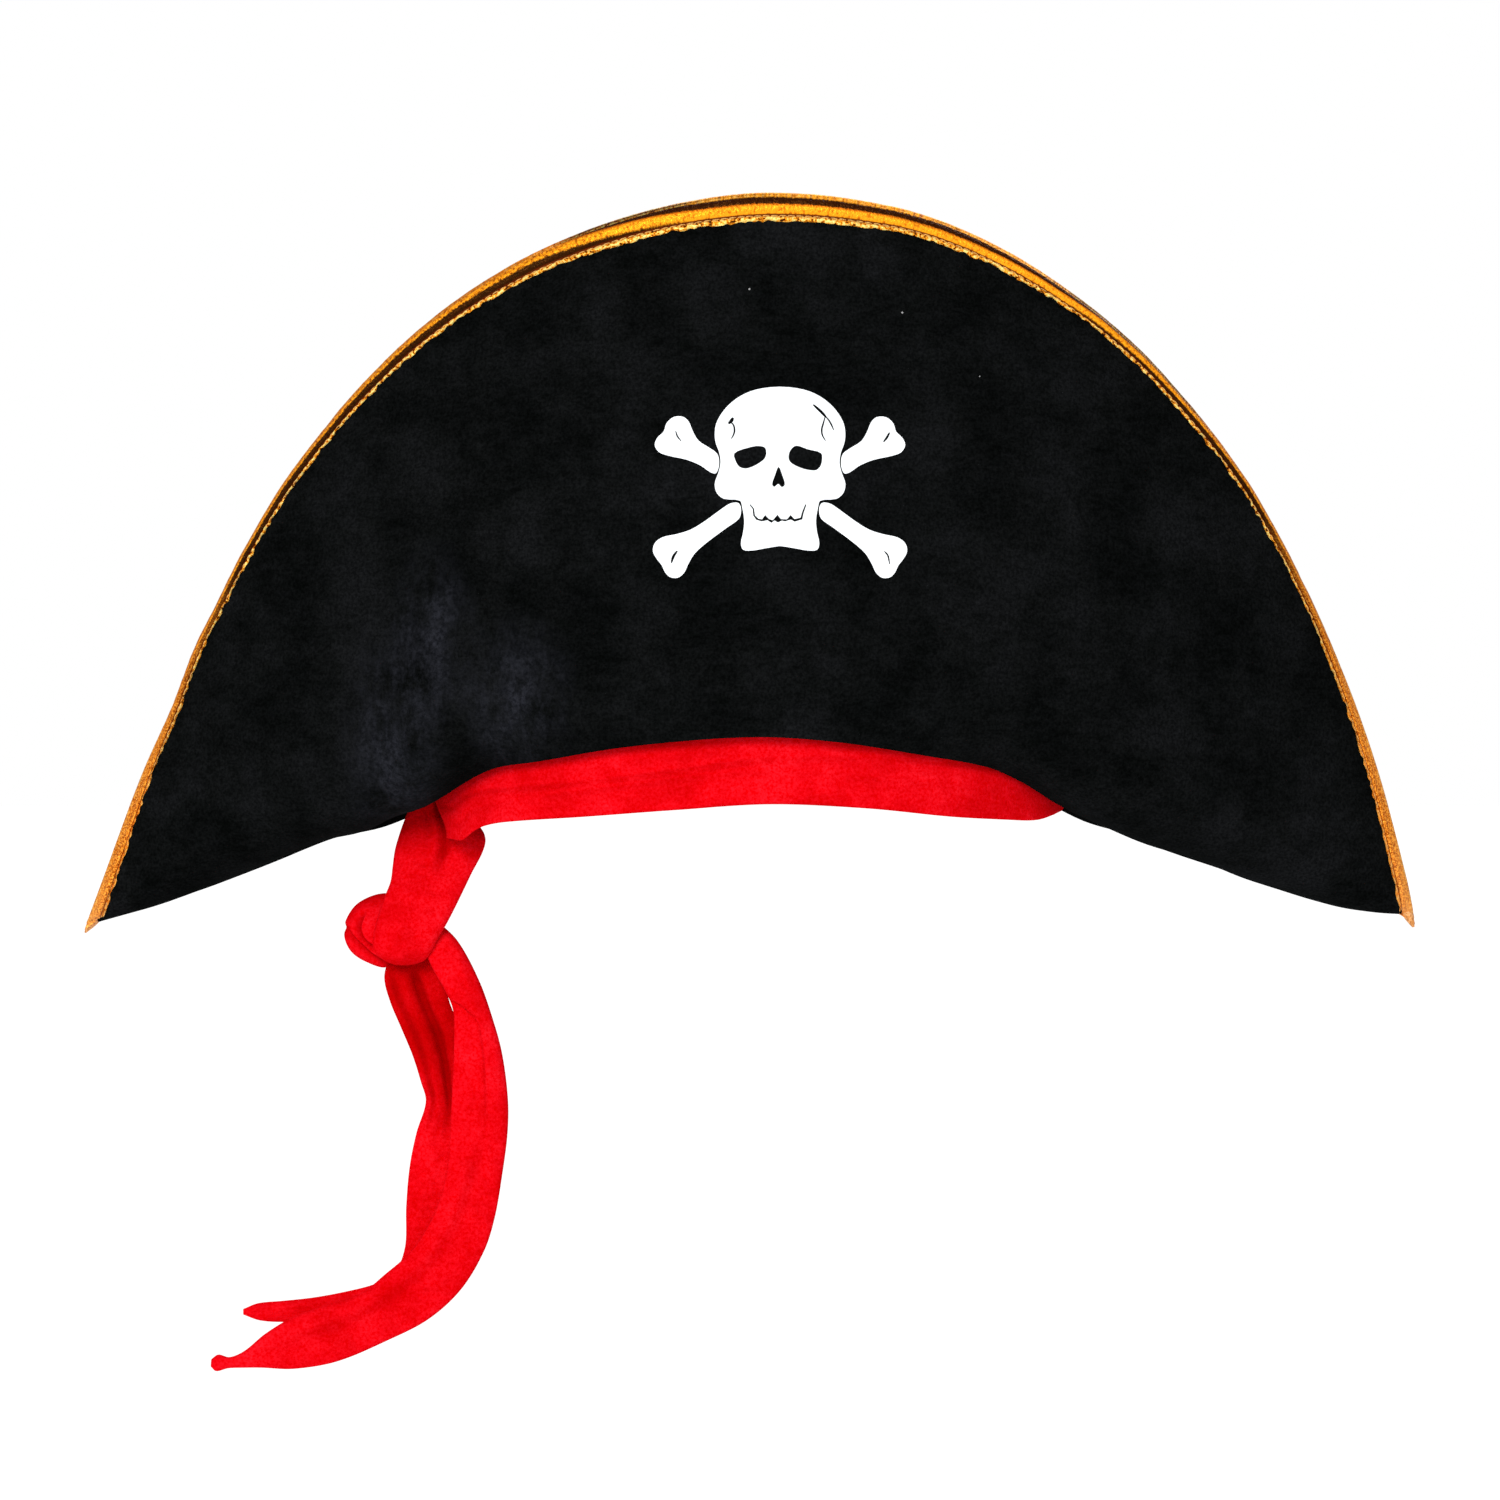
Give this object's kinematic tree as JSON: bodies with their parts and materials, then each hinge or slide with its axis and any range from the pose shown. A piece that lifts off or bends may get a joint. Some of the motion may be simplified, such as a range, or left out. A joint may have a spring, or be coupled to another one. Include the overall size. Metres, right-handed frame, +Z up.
{
  "type": "pirate hat",
  "caption": "Two-winged felt bicorne with metallic edge trim, a headband, a knotted side sash with two tails and a printed emblem.",
  "frame": {"origin": "middle of the head opening, level with the headband's lower edge at the sides of the head", "axes": "+X to the viewer's right of someone who faces the hat's front, +Y to the back of the hat, +Z up"},
  "size_m": [0.47, 0.1644, 0.4152],
  "materials": {
    "black_velvet": "short-pile black velvet",
    "black_lining": "matte black lining cloth",
    "black_foam": "black sheet foam",
    "red_velvet": "bright red velvet",
    "gold_lame": "shiny metallic gold foil cloth",
    "gold_thread": "gold sewing thread",
    "white_print": "white transfer film"
  },
  "bodies": {
    "hat": {"brim_front_cover": "black_velvet", "brim_front_foam": "black_foam", "brim_front_lining": "black_lining", "trim_front": "gold_lame", "trim_thread_front": "gold_thread", "brim_back_cover": "black_velvet", "brim_back_foam": "black_foam", "brim_back_lining": "black_lining", "trim_back": "gold_lame", "trim_thread_back": "gold_thread", "trim_tip_left": "gold_lame", "trim_tip_right": "gold_lame", "crown_wall_front": "black_velvet", "crown_wall_back": "black_velvet", "crown_top": "black_velvet", "lining_wall": "black_lining", "lining_top": "black_lining", "sweatband": "black_lining", "headband_front": "red_velvet", "headband_back": "red_velvet", "sash_tab": "red_velvet", "print_skull": "white_print", "print_bone_upper_left": "white_print", "print_bone_upper_right": "white_print", "print_bone_lower_left": "white_print", "print_bone_lower_right": "white_print"},
    "sash": {"sash_drop": "red_velvet", "sash_knot": "red_velvet"},
    "front_tail": {"sash_tail_front": "red_velvet"},
    "rear_tail": {"sash_tail_rear": "red_velvet"}
  },
  "joints": [
    {"name": "sash_swing", "type": "hinge", "parent": "hat", "child": "sash", "pos_m": [-0.111, -0.011, -0.004], "axis": [1, 0, 0], "range_deg": [-35, 35]},
    {"name": "front_tail_swing", "type": "hinge", "parent": "sash", "child": "front_tail", "pos_m": [-0.111, -0.014, -0.052], "axis": [0, 1, 0], "range_deg": [-30, 30]},
    {"name": "rear_tail_swing", "type": "hinge", "parent": "sash", "child": "rear_tail", "pos_m": [-0.122, -0.005, -0.057], "axis": [0, 1, 0], "range_deg": [-30, 30]}
  ]
}
